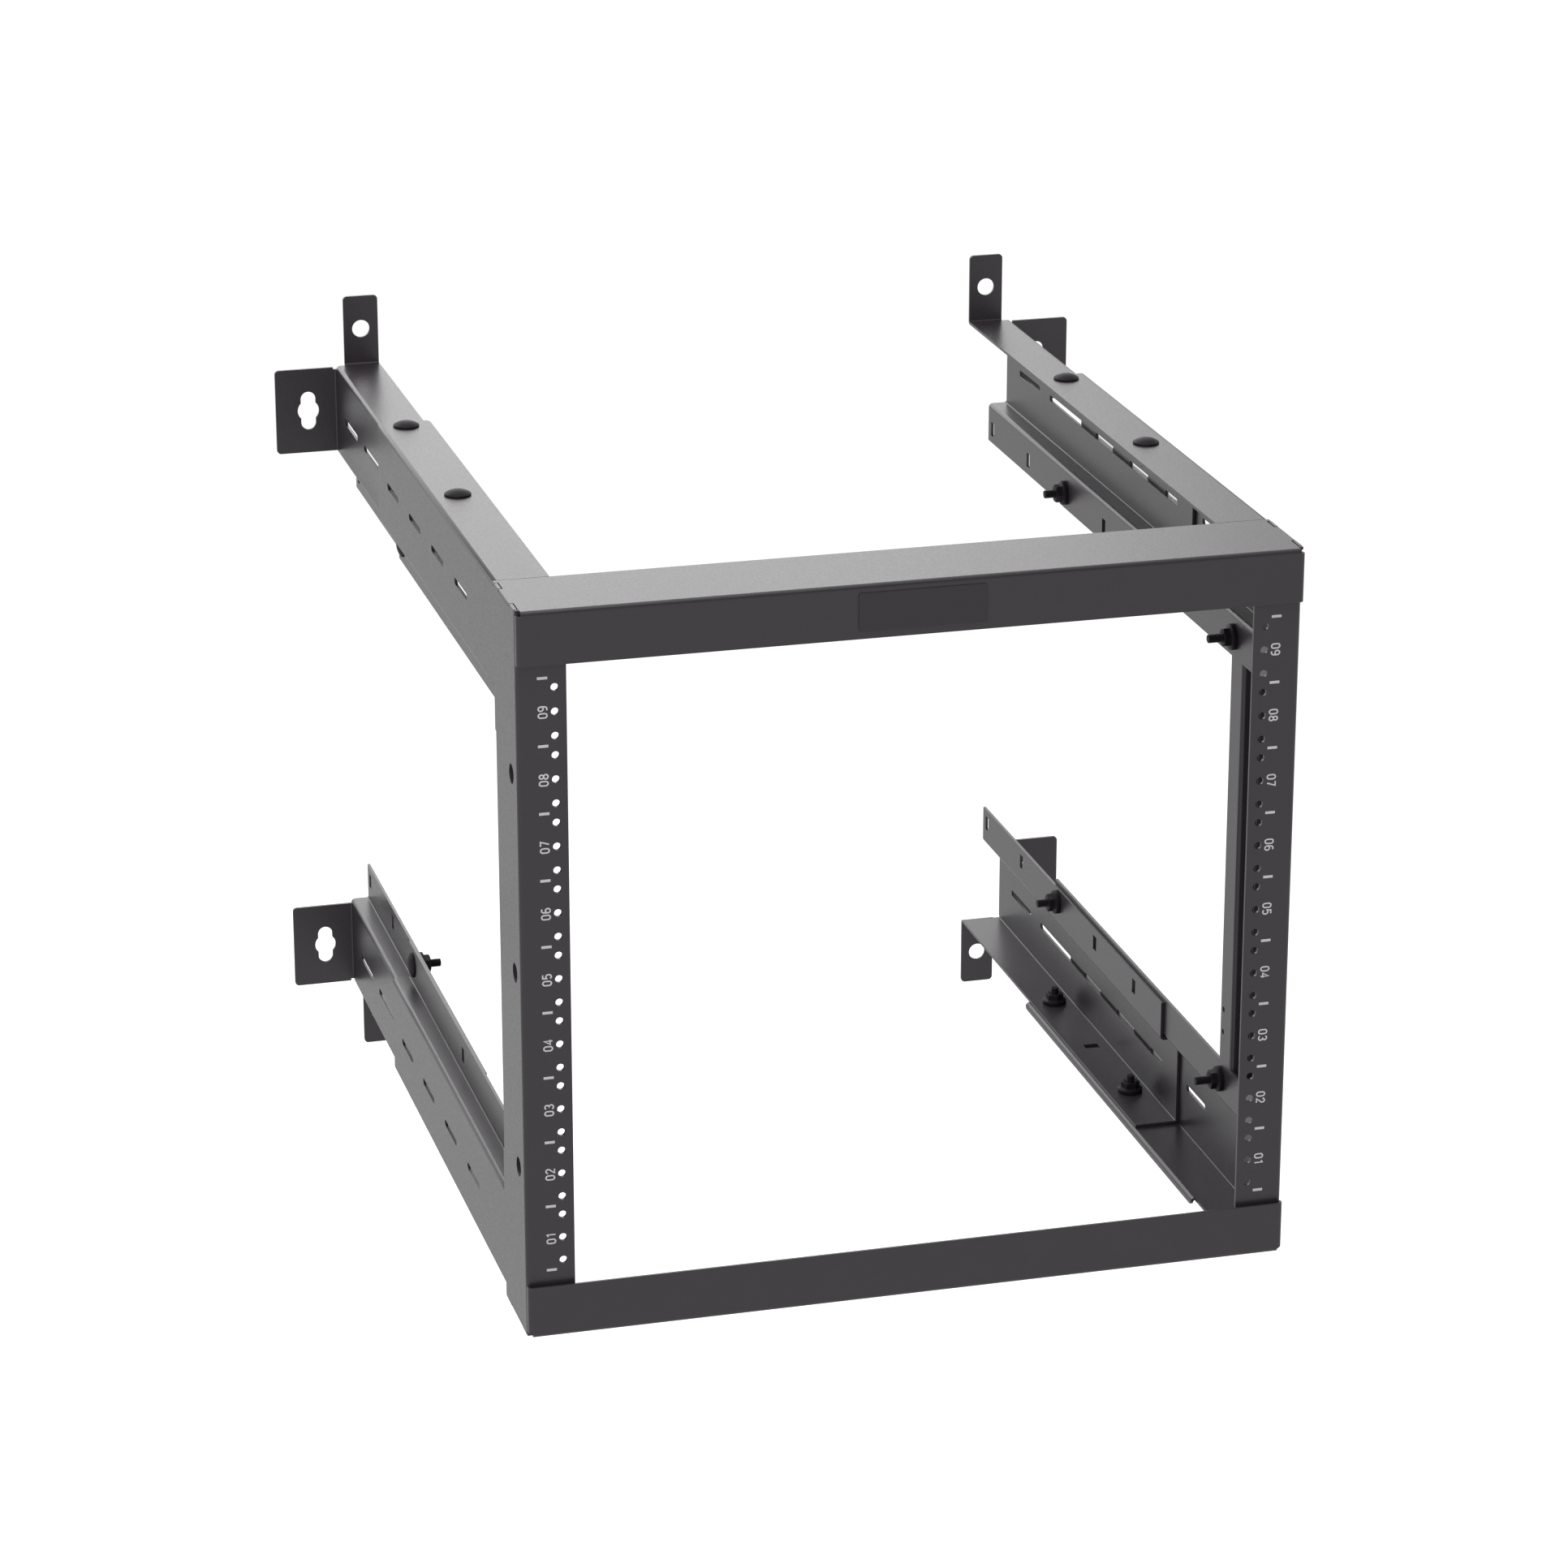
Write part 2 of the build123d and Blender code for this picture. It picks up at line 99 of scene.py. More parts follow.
def linear(colour):
    """A hex colour such as 4B484B in linear light."""
    values = [int(colour[i:i + 2], 16) / 255 for i in (0, 2, 4)]
    return tuple(v / 12.92 if v <= 0.04045 else ((v + 0.055) / 1.055) ** 2.4 for v in values)


def add(tree, kind, settings=None, **links):
    """Adds a node with its settings and with values or other nodes' outputs on its sockets.

    A socket is named by its own name, with _ for a space, or by i and its place in the row.
    """
    node = tree.nodes.new(kind)
    for name, value in (settings or {}).items():
        setattr(node, name, value)
    for name, value in links.items():
        key = int(name[1:]) if name[0] == "i" and name[1:].isdigit() else name.replace("_", " ")
        plug = node.inputs[key]
        if isinstance(value, bpy.types.NodeSocket):
            tree.links.new(value, plug)
        else:
            plug.default_value = value
    return node


def calc(tree, operation, a, b=0.0, c=0.0):
    """One Math node, and its result."""
    return add(tree, "ShaderNodeMath", {"operation": operation}, i0=a, i1=b, i2=c).outputs[0]


def new_material(name):
    """The material of that name, emptied, and its node tree."""
    material = bpy.data.materials.get(name) or bpy.data.materials.new(name)
    material.use_nodes = True
    material.node_tree.nodes.clear()
    return material, material.node_tree


def new_object(name, data):
    """A new object at the origin, in place of an older one of that name."""
    old = bpy.data.objects.get(name)
    if old:
        bpy.data.objects.remove(old)
    thing = bpy.data.objects.new(name, data)
    bpy.context.scene.collection.objects.link(thing)
    return thing


def from_bmesh(name, bm):
    """A new mesh with the content of the bmesh, which is freed."""
    mesh = bpy.data.meshes.new(name)
    bm.to_mesh(mesh)
    bm.free()
    return mesh


def evaluated(thing, name):
    """The object's mesh with its modifiers applied, as a plain new mesh."""
    bpy.context.view_layer.update()
    graph = bpy.context.evaluated_depsgraph_get()
    mesh = bpy.data.meshes.new_from_object(thing.evaluated_get(graph), depsgraph=graph)
    mesh.name = name
    return mesh


def finish_piece(thing, slot, *nodes):
    """The piece rides on the rack's one body, and its CAD nodes are hidden."""
    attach(thing, BODY)
    if nodes:
        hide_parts(*nodes)
    return thing


# Materials

def powder_coat(looks):
    """Charcoal powder coat on folded steel: a satin polyester skin baked to a fine orange peel.

    The peel breaks up the sheen into a fine grain. The real grain is about half a millimetre
    and is drawn twice as coarse, so that it shows. The film is a little thicker and glossier
    in places, which gives the faces a faint mottle.
    """
    material, tree = new_material("charcoal_powder_coat")
    mottle_size = 22 * MM
    place = add(tree, "ShaderNodeTexCoord").outputs["Object"]
    mottle = add(tree, "ShaderNodeTexNoise", Vector=place, Scale=1 / mottle_size, Detail=2.0)
    grain = add(tree, "ShaderNodeTexNoise", Vector=place, Scale=1 / (looks.peel * MM), Detail=2.0)
    base = linear(looks.coat)
    dark = tuple(0.95 * c for c in base)
    pale = tuple(1.05 * c for c in base)
    tone = add(tree, "ShaderNodeMix", {"data_type": "RGBA"}, i0=mottle.outputs["Fac"],
               i6=(*dark, 1), i7=(*pale, 1))
    rough = add(tree, "ShaderNodeMapRange", Value=grain.outputs["Fac"], From_Min=0.3,
                From_Max=0.7, To_Min=looks.rough - 0.05, To_Max=looks.rough + 0.05)
    peel = add(tree, "ShaderNodeBump", Height=grain.outputs["Fac"], Strength=0.7,
               Distance=0.1 * MM)
    shader = add(tree, "ShaderNodeBsdfPrincipled", Base_Color=tone.outputs[2],
                 Roughness=rough.outputs["Result"], Normal=peel.outputs["Normal"], IOR=1.5)
    add(tree, "ShaderNodeOutputMaterial", Surface=shader.outputs["BSDF"])
    return material


def black_oxide(looks):
    """Black oxide on carbon steel bolts and nuts: a thin conversion film, oiled, over bright metal.

    It is nearly black with a soft metallic sheen, and paler in small patches where the film is
    thin.
    """
    material, tree = new_material("black_oxide_steel")
    patch_size = 2.5 * MM
    place = add(tree, "ShaderNodeTexCoord").outputs["Object"]
    film = add(tree, "ShaderNodeTexNoise", Vector=place, Scale=1 / patch_size, Detail=4.0)
    base = linear(looks.oxide)
    pale = tuple(1.4 * c for c in base)
    tone = add(tree, "ShaderNodeMix", {"data_type": "RGBA"}, i0=film.outputs["Fac"],
               i6=(*base, 1), i7=(*pale, 1))
    rough = add(tree, "ShaderNodeMapRange", Value=film.outputs["Fac"], To_Min=0.46, To_Max=0.6)
    bump = add(tree, "ShaderNodeBump", Height=film.outputs["Fac"], Strength=0.08,
               Distance=0.04 * MM)
    shader = add(tree, "ShaderNodeBsdfPrincipled", Base_Color=tone.outputs[2], Metallic=0.35,
                 Specular_IOR_Level=0.15, Roughness=rough.outputs["Result"],
                 Normal=bump.outputs["Normal"])
    add(tree, "ShaderNodeOutputMaterial", Surface=shader.outputs["BSDF"])
    return material


def marking_ink(looks):
    """Pad-printed ink: pale grey and matt, laid thin enough for the peel to show through."""
    material, tree = new_material("pad_printed_ink")
    cover_size = 0.8 * MM
    place = add(tree, "ShaderNodeTexCoord").outputs["Object"]
    cover = add(tree, "ShaderNodeTexNoise", Vector=place, Scale=1 / cover_size, Detail=2.0)
    base = linear(looks.ink)
    thin = tuple(0.80 * c for c in base)
    tone = add(tree, "ShaderNodeMix", {"data_type": "RGBA"}, i0=cover.outputs["Fac"],
               i6=(*thin, 1), i7=(*base, 1))
    bump = add(tree, "ShaderNodeBump", Height=cover.outputs["Fac"], Strength=0.1,
               Distance=0.03 * MM)
    shader = add(tree, "ShaderNodeBsdfPrincipled", Base_Color=tone.outputs[2], Roughness=0.55,
                 Normal=bump.outputs["Normal"])
    add(tree, "ShaderNodeOutputMaterial", Surface=shader.outputs["BSDF"])
    return material


def label_film(looks):
    """Polyester label film, dark and smooth, without print: flatter and darker than the coat."""
    material, tree = new_material("polyester_label_film")
    wave_size = 6 * MM
    place = add(tree, "ShaderNodeTexCoord").outputs["Object"]
    wave = add(tree, "ShaderNodeTexNoise", Vector=place, Scale=1 / wave_size, Detail=2.0)
    base = linear(looks.film)
    pale = tuple(1.12 * c for c in base)
    tone = add(tree, "ShaderNodeMix", {"data_type": "RGBA"}, i0=wave.outputs["Fac"],
               i6=(*base, 1), i7=(*pale, 1))
    rough = add(tree, "ShaderNodeMapRange", Value=wave.outputs["Fac"], To_Min=0.42, To_Max=0.5)
    bump = add(tree, "ShaderNodeBump", Height=wave.outputs["Fac"], Strength=0.05,
               Distance=0.05 * MM)
    shader = add(tree, "ShaderNodeBsdfPrincipled", Base_Color=tone.outputs[2],
                 Roughness=rough.outputs["Result"], Normal=bump.outputs["Normal"])
    add(tree, "ShaderNodeOutputMaterial", Surface=shader.outputs["BSDF"])
    return material


def studio_paper(looks):
    """Seamless paper: matt white, lifted to white for the camera and even in reflections.

    The lift is added to the lit paper, so the paper keeps the rack's shadow.
    """
    material, tree = new_material("seamless_paper")
    cloud_size = 400 * MM
    path = add(tree, "ShaderNodeLightPath").outputs
    place = add(tree, "ShaderNodeTexCoord").outputs["Object"]
    cloud = add(tree, "ShaderNodeTexNoise", Vector=place, Scale=1 / cloud_size, Detail=2.0)
    pale = linear(looks.paper)
    tone = add(tree, "ShaderNodeMix", {"data_type": "RGBA"}, i0=cloud.outputs["Fac"],
               i6=(*(0.99 * c for c in pale), 1), i7=(*pale, 1))
    paper = add(tree, "ShaderNodeBsdfDiffuse", Color=tone.outputs[2])
    lift = calc(tree, "MULTIPLY", path["Is Camera Ray"], looks.paper_glow)
    glow = add(tree, "ShaderNodeEmission", Color=(1, 1, 1, 1), Strength=lift)
    lifted = add(tree, "ShaderNodeAddShader", i0=paper.outputs[0], i1=glow.outputs[0])
    mirrored = calc(tree, "MAXIMUM", path["Is Glossy Ray"], path["Is Transmission Ray"])
    even = add(tree, "ShaderNodeEmission", Color=(1, 1, 1, 1), Strength=looks.paper_mirrored)
    both = add(tree, "ShaderNodeMixShader", i0=mirrored, i1=lifted.outputs[0],
               i2=even.outputs[0])
    add(tree, "ShaderNodeOutputMaterial", Surface=both.outputs[0])
    return material


# Folded sheet parts

WELD = 0.002 * MM                   # points of a CAD mesh that lie closer than this are one
FLAT = math.radians(0.5)            # a bend under this between triangles is one flat face
NEARLY_FLAT = math.radians(1)
CUT_EDGE = math.radians(50)         # a cut edge is sharper than this, and a fold's facets aren't
SHORT_EDGE = 0.4                    # of the radius: a bevel can't pass an edge under this
SIDE_BY_SIDE = 0.9                  # cosine over which two edges leave a corner side by side
RUNS_ON = -0.5                      # cosine under which an edge continues another


def safe_to_round(sharp, radius):
    """The sharp edges that a bevel can round without running along a neighbour.

    Where a flat face's inner edge leaves a corner almost in line with a sharp edge, the bevel
    would run far along it, so those edges stay crisp, with the edges that continue them.
    """
    cut = set(sharp)

    def agreement(edge, other, vert):
        """Cosine between two edges as they leave the corner that they share."""
        ways = [(e.other_vert(vert).co - vert.co).normalized() for e in (edge, other)]
        return ways[0].dot(ways[1])

    def too_close(vert):
        if any(e.calc_length() < SHORT_EDGE * radius for e in vert.link_edges):
            return True
        inner = [e for e in vert.link_edges
                 if e not in cut and e.calc_face_angle(0) < NEARLY_FLAT]
        return any(abs(agreement(edge, other, vert)) > SIDE_BY_SIDE
                   for edge in inner for other in vert.link_edges if other in cut)

    crisp = {e for e in sharp if any(too_close(v) for v in e.verts)}
    queue = list(crisp)
    while queue:
        edge = queue.pop()
        for vert in edge.verts:
            for other in vert.link_edges:
                fresh = other in cut and other not in crisp
                if fresh and agreement(edge, other, vert) < RUNS_ON:
                    crisp.add(other)
                    queue.append(other)
    return [e for e in sharp if e not in crisp]


def coated_sheet(node_name, piece_name, radius, material, slot="powder_coated_steel",
                 corner=0.0):
    """The node's own shape under its coat, with the cut edges rounded where a radius is given.

    A corner radius rounds the edges through the thickness of an upright plate first.
    """
    bm = bmesh.new()
    bm.from_mesh(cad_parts[node_name].data)
    bmesh.ops.remove_doubles(bm, verts=bm.verts, dist=WELD)
    bmesh.ops.dissolve_limit(bm, angle_limit=FLAT, verts=bm.verts, edges=bm.edges)
    if corner:
        through = [e for e in bm.edges
                   if abs(e.verts[0].co.y - e.verts[1].co.y) > 0.9 * e.calc_length()]
        bmesh.ops.bevel(bm, geom=through, offset=corner, segments=6, profile=0.5,
                        affect="EDGES")
    if radius:
        sharp = [e for e in bm.edges if len(e.link_faces) == 2
                 and e.calc_face_angle(0) > CUT_EDGE]
        bmesh.ops.bevel(bm, geom=safe_to_round(sharp, radius), offset=radius, segments=2,
                        profile=0.5, affect="EDGES", clamp_overlap=False)
    for face in bm.faces:
        face.smooth = True
    thing = new_object(piece_name, from_bmesh(piece_name, bm))
    thing.data.set_sharp_from_angle(angle=math.radians(40))
    # Weighted normals keep the wide faces flat beside their rounded edges.
    weights = thing.modifiers.new("even shading", "WEIGHTED_NORMAL")
    weights.keep_sharp = True
    thing = new_object(piece_name, evaluated(thing, piece_name))
    thing.data.materials.clear()
    thing.data.materials.append(material)
    return finish_piece(thing, slot, node_name)


# Fasteners

NECK_SIDE = 6.3 * MM
NECK_CORNER = 0.6 * MM
TOOTH = 0.35 * MM           # height of a serration under a nut's flange
TOOTH_RUN = 3.2 * MM        # length of a serration, in from the flange's rim
NUT_TURN = 0.7              # radians from one nut to the next, so that no two look lined up
HEX_TURN = 1.05             # a sixth of a turn, after which a hexagon looks the same


def lathe(bm, profile, steps):
    """Turns a profile of (radius, height) pairs about Z. Either may be a function of the angle."""
    rings = []
    for radius, height in profile:
        ring = []
        for i in range(steps):
            angle = 2 * math.pi * i / steps
            r = radius(angle) if callable(radius) else radius
            h = height(angle) if callable(height) else height
            ring.append(bm.verts.new((r * math.cos(angle), r * math.sin(angle), h)))
        rings.append(ring)
    for low, high in zip(rings, rings[1:]):
        for i in range(steps):
            j = (i + 1) % steps
            bm.faces.new((low[i], low[j], high[j], high[i]))
    return rings


def bolt_head(sizes):
    """Low domed head and square neck, with the underside of the head at z = 0."""
    bm = bmesh.new()
    radius = sizes.head * MM / 2
    rim, dome, soft = sizes.rim * MM, sizes.dome * MM, 0.25 * MM
    ball = (dome ** 2 + radius ** 2) / (2 * dome)
    profile = [(0.5 * radius, 0.0), (radius - soft, 0.0), (radius, soft), (radius, rim - soft)]
    dome_steps = 12
    for i in range(1, dome_steps):
        r = (radius - 0.3 * soft) * math.cos(math.pi / 2 * i / dome_steps)
        profile.append((r, rim + dome - ball + math.sqrt(ball ** 2 - r ** 2)))
    rings = lathe(bm, profile, 48)
    bm.faces.new(reversed(rings[0]))
    bm.faces.new(rings[-1])
    neck = bmesh.ops.create_cube(bm, size=1.0)["verts"]
    bmesh.ops.scale(bm, vec=(NECK_SIDE, NECK_SIDE, NECK_LENGTH), verts=neck)
    bmesh.ops.translate(bm, vec=(0, 0, -NECK_LENGTH / 2), verts=neck)
    corners = {e for v in neck for e in v.link_edges
               if abs(e.verts[0].co.z - e.verts[1].co.z) > NECK_LENGTH / 2}
    bmesh.ops.bevel(bm, geom=list(corners), offset=NECK_CORNER, segments=3, profile=0.5,
                    affect="EDGES")
    bmesh.ops.recalc_face_normals(bm, faces=bm.faces)
    return from_bmesh("bolt_head", bm)


def hex_radius(flats):
    """Distance from the axis to a hexagon's side, by angle."""
    def at(angle):
        turn = (angle + math.pi / 6) % (math.pi / 3) - math.pi / 6
        return flats / 2 / math.cos(turn)
    return at


def flange_nut(sizes):
    """Nut with a thick serrated flange. The flange's face is at z = 0 and the body towards -Z."""
    bm = bmesh.new()
    side = hex_radius(sizes.flats * MM)
    rim = sizes.flange * MM / 2
    bore = sizes.thread * MM / 2
    end_ring = 0.96 * sizes.flats * MM / 2
    foot, end = -sizes.flange_height * MM, -sizes.nut_height * MM

    def fillet(angle):
        return side(angle) + 0.3 * MM

    def chamfer(angle):
        return end + (side(angle) - end_ring) * math.tan(math.radians(30))

    def teeth(angle):
        return -TOOTH * (0.5 + 0.5 * math.cos(sizes.teeth * angle))

    profile = [
        (bore, 0.0), (rim - TOOTH_RUN, 0.0), (rim - 0.35 * MM, teeth), (rim, -0.5 * MM),
        (rim, foot + 0.9 * MM), (rim - 0.4 * MM, foot + 0.5 * MM),
        (fillet, foot), (side, foot - 0.3 * MM), (side, chamfer),
        (end_ring, end), (bore + 0.45 * MM, end), (bore, end + 0.4 * MM),
    ]
    steps = 96
    rings = lathe(bm, profile, steps)
    for i in range(steps):
        j = (i + 1) % steps
        bm.faces.new((rings[-1][i], rings[-1][j], rings[0][j], rings[0][i]))
    bmesh.ops.recalc_face_normals(bm, faces=bm.faces)
    return from_bmesh("flange_nut", bm)


def name_socket(tree, name, kind, way="INPUT", default=None):
    """Gives a node group a named socket."""
    item = tree.interface.new_socket(name, in_out=way, socket_type=kind)
    if default is not None:
        item.default_value = default


def geometry_tree(name, *inputs):
    """A Geometry Nodes tree with named inputs. Returns it, its inputs and its output node."""
    old = bpy.data.node_groups.get(name)
    if old:
        bpy.data.node_groups.remove(old)
    tree = bpy.data.node_groups.new(name, "GeometryNodeTree")
    name_socket(tree, "Geometry", "NodeSocketGeometry", way="OUTPUT")
    name_socket(tree, "Geometry", "NodeSocketGeometry")
    for label, kind, default in inputs:
        name_socket(tree, label, kind, default=default)
    return tree, add(tree, "NodeGroupInput").outputs, add(tree, "NodeGroupOutput")


def use_tree(thing, tree, **values):
    """Puts the tree on the object and sets its named inputs."""
    modifier = thing.modifiers.new(tree.name, "NODES")
    modifier.node_group = tree
    for item in tree.interface.items_tree:
        if item.item_type == "SOCKET" and item.in_out == "INPUT":
            key = item.name.lower().replace(" ", "_")
            if key in values:
                modifier[item.identifier] = values[key]


def threaded_stud_tree():
    """Adds a stud with a rolled thread below the head that the object's mesh gives.

    The stud is a fine cylinder, and each point's radius follows the thread's height at its
    angle, which makes one true helix. The last turn runs out in a chamfer.
    """
    sides, rows = 20, 72
    tree, given, out = geometry_tree(
        "threaded_stud", ("Diameter", "NodeSocketFloat", 6 * MM),
        ("Pitch", "NodeSocketFloat", 1 * MM), ("Depth", "NodeSocketFloat", 0.6 * MM),
        ("Start", "NodeSocketFloat", 1.9 * MM), ("Length", "NodeSocketFloat", 20 * MM))
    run = calc(tree, "SUBTRACT", given["Length"], given["Start"])
    stud = add(tree, "GeometryNodeMeshCylinder", {"fill_type": "NGON"}, Vertices=sides,
               Side_Segments=rows, Radius=1.0, Depth=run)
    middle = calc(tree, "MULTIPLY", calc(tree, "ADD", given["Length"], given["Start"]), -0.5)
    shift = add(tree, "ShaderNodeCombineXYZ", Z=middle)
    moved = add(tree, "GeometryNodeTransform", Geometry=stud.outputs["Mesh"],
                Translation=shift.outputs[0])
    position = add(tree, "GeometryNodeInputPosition").outputs[0]
    at = add(tree, "ShaderNodeSeparateXYZ", Vector=position)
    angle = calc(tree, "ARCTAN2", at.outputs["Y"], at.outputs["X"])
    turn = calc(tree, "DIVIDE", angle, 2 * math.pi)
    phase = calc(tree, "ADD", calc(tree, "DIVIDE", at.outputs["Z"], given["Pitch"]), turn)
    crest = calc(tree, "MULTIPLY", calc(tree, "PINGPONG", phase, 0.5), 2.0)
    outer = calc(tree, "MULTIPLY", given["Diameter"], 0.5)
    inner = calc(tree, "SUBTRACT", outer, given["Depth"])
    thread = calc(tree, "MULTIPLY_ADD", crest, given["Depth"], inner)
    left = calc(tree, "ADD", at.outputs["Z"], given["Length"])
    ending = calc(tree, "ADD", inner, left)
    radius = calc(tree, "MINIMUM", thread, ending)
    # The cylinder's own radius is 1, so the thread's radius is the scale of X and Y.
    place = add(tree, "ShaderNodeCombineXYZ", X=calc(tree, "MULTIPLY", at.outputs["X"], radius),
                Y=calc(tree, "MULTIPLY", at.outputs["Y"], radius), Z=at.outputs["Z"])
    cut = add(tree, "GeometryNodeSetPosition", Geometry=moved.outputs[0], Position=place.outputs[0])
    whole = add(tree, "GeometryNodeJoinGeometry")
    tree.links.new(given["Geometry"], whole.inputs[0])
    tree.links.new(cut.outputs[0], whole.inputs[0])
    tree.links.new(whole.outputs[0], out.inputs[0])
    return tree


def at_seats_tree():
    """Sets one fastener on every seat, turned so that its Z follows the seat's facing."""
    tree, given, out = geometry_tree(
        "fasteners_at_seats", ("Fastener", "NodeSocketObject", None),
        ("Finish", "NodeSocketMaterial", None))
    facing = add(tree, "GeometryNodeInputNamedAttribute", {"data_type": "FLOAT_VECTOR"},
                 Name="facing")
    spin = add(tree, "GeometryNodeInputNamedAttribute", {"data_type": "FLOAT"}, Name="spin")
    turned = add(tree, "FunctionNodeAlignRotationToVector", {"axis": "Z"},
                 Vector=facing.outputs[0])
    about = add(tree, "FunctionNodeAxisAngleToRotation", Axis=(0.0, 0.0, 1.0),
                Angle=spin.outputs[0])
    both = add(tree, "FunctionNodeRotateRotation", {"rotation_space": "LOCAL"},
               Rotation=turned.outputs[0], Rotate_By=about.outputs[0])
    part = add(tree, "GeometryNodeObjectInfo", Object=given["Fastener"])
    spread = add(tree, "GeometryNodeInstanceOnPoints", Points=given["Geometry"],
                 Instance=part.outputs["Geometry"], Rotation=both.outputs[0])
    real = add(tree, "GeometryNodeRealizeInstances", Geometry=spread.outputs[0])
    coated = add(tree, "GeometryNodeSetMaterial", Geometry=real.outputs[0],
                 Material=given["Finish"])
    tree.links.new(coated.outputs[0], out.inputs[0])
    return tree


def seats(kind, runs):
    """Each fastener's CAD node with its seat: the point, the way it faces and its turn."""
    found = []
    for corner in CORNERS:
        for run in runs:
            for end in ENDS:
                node = f"{corner}_{run}_{kind}_{end}"
                low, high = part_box(node)
                axis = 2 if run == "flange" else 0
                positive = corner.startswith("upper") if axis == 2 else corner.endswith("right")
                facing = Vector((0, 0, 0))
                facing[axis] = 1 if positive else -1
                seat = (low + high) / 2
                seat[axis] = high[axis] if positive else low[axis]
                if kind == "bolt":
                    seat -= facing * HEAD_HEIGHT
                spin = NUT_TURN * len(found) % HEX_TURN if kind == "nut" else 0.0
                found.append((node, seat, facing, spin))
    return found


def set_fasteners(name, mesh, kind, runs, finish):
    """All fasteners of one kind as one piece, in place of their CAD nodes."""
    places = seats(kind, runs)
    single = new_object(name + "_single", mesh)
    points = bpy.data.meshes.new(name + "_seats")
    points.from_pydata([tuple(p[1]) for p in places], [], [])
    facing = points.attributes.new("facing", "FLOAT_VECTOR", "POINT")
    facing.data.foreach_set("vector", [c for p in places for c in p[2]])
    spin = points.attributes.new("spin", "FLOAT", "POINT")
    spin.data.foreach_set("value", [p[3] for p in places])
    holder = new_object(name + "_seats", points)
    use_tree(holder, at_seats_tree(), fastener=single, finish=finish)
    result = evaluated(holder, name)
    bpy.data.objects.remove(holder)
    bpy.data.objects.remove(single)
    for attribute in ("facing", "spin"):
        if attribute in result.attributes:
            result.attributes.remove(result.attributes[attribute])
    result.shade_smooth()
    result.set_sharp_from_angle(angle=math.radians(35))
    thing = new_object(name, result)
    return finish_piece(thing, "black_fastener_steel", *[p[0] for p in places])


# Unit marks

def arc(cx, cy, rx, ry, start, stop, steps=10):
    """Points along part of an ellipse, angles in degrees."""
    return [(cx + rx * math.cos(math.radians(start + (stop - start) * i / steps)),
             cy + ry * math.sin(math.radians(start + (stop - start) * i / steps)))
            for i in range(steps + 1)]


# Strokes of the printed digits, in millimetres for digits as high as DIGIT_HEIGHT
DIGIT_WIDTH = 3.4
DIGIT_HEIGHT = 6.0
DIGIT_GAP = 0.9
DIGITS = {
    "0": [arc(1.7, 4.2, 1.35, 1.45, 0, 180) + arc(1.7, 1.8, 1.35, 1.45, 180, 360)
          + [(3.05, 4.2)]],
    "1": [[(0.6, 4.75), (1.9, 5.65), (1.9, 0.35)]],
    "2": [arc(1.7, 4.25, 1.3, 1.4, 175, -25, 12) + [(0.4, 0.35), (3.1, 0.35)]],
    "3": [arc(1.6, 4.35, 1.3, 1.3, 155, -85, 12) + arc(1.65, 1.72, 1.4, 1.37, 80, -155, 14)],
    "4": [[(2.35, 0.35), (2.35, 5.65), (0.3, 1.75), (3.2, 1.75)]],
    "5": [[(2.9, 5.65), (0.65, 5.65), (0.5, 3.15)] + arc(1.65, 2.05, 1.4, 1.7, 140, -145, 14)],
    "6": [[(2.7, 5.3)] + arc(1.9, 3.9, 1.5, 1.75, 80, 175, 8) + [(0.35, 2.0)]
          + arc(1.7, 1.85, 1.35, 1.5, 180, 525, 18)],
    "7": [[(0.35, 5.65), (3.05, 5.65), (1.35, 0.35)]],
    "8": [arc(1.7, 4.35, 1.2, 1.3, -90, 270, 18), arc(1.7, 1.7, 1.4, 1.35, 90, 450, 18)],
    "9": [[(0.7, 0.7)] + arc(1.5, 2.1, 1.5, 1.75, 260, 355, 8) + [(3.05, 4.0)]
          + arc(1.7, 4.15, 1.35, 1.5, 0, 345, 18)],
}


def ribbon(bm, line, width, place):
    """A flat stroke of even width along a line, with mitred corners.

    The function place gets a point's two coordinates, and how far along the stroke it is.
    """
    mitre_limit = 1.6
    same_point = 1e-4
    path = [Vector(p) for p in line]
    path = [p for i, p in enumerate(path) if i == 0 or (p - path[i - 1]).length > same_point]
    sides = []
    for i, point in enumerate(path):
        before = (point - path[i - 1]).normalized() if i else None
        after = (path[i + 1] - point).normalized() if i < len(path) - 1 else None
        if before is None:
            along, stretch = after, 1.0
        elif after is None:
            along, stretch = before, 1.0
        else:
            along = (before + after).normalized()
            stretch = 1 / max(along.dot(after), 1 / mitre_limit)
        across = Vector((-along.y, along.x)) * width / 2 * stretch
        share = i / (len(path) - 1)
        sides.append((bm.verts.new(place(point + across, share)),
                      bm.verts.new(place(point - across, share))))
    for (a, b), (c, d) in zip(sides, sides[1:]):
        bm.faces.new((b, d, c, a))


def rail_centres(marks):
    """The middle line of the printed marks on the left and on the right rail."""
    return MIDDLE_X - marks.spread * MM, MIDDLE_X + marks.spread * MM


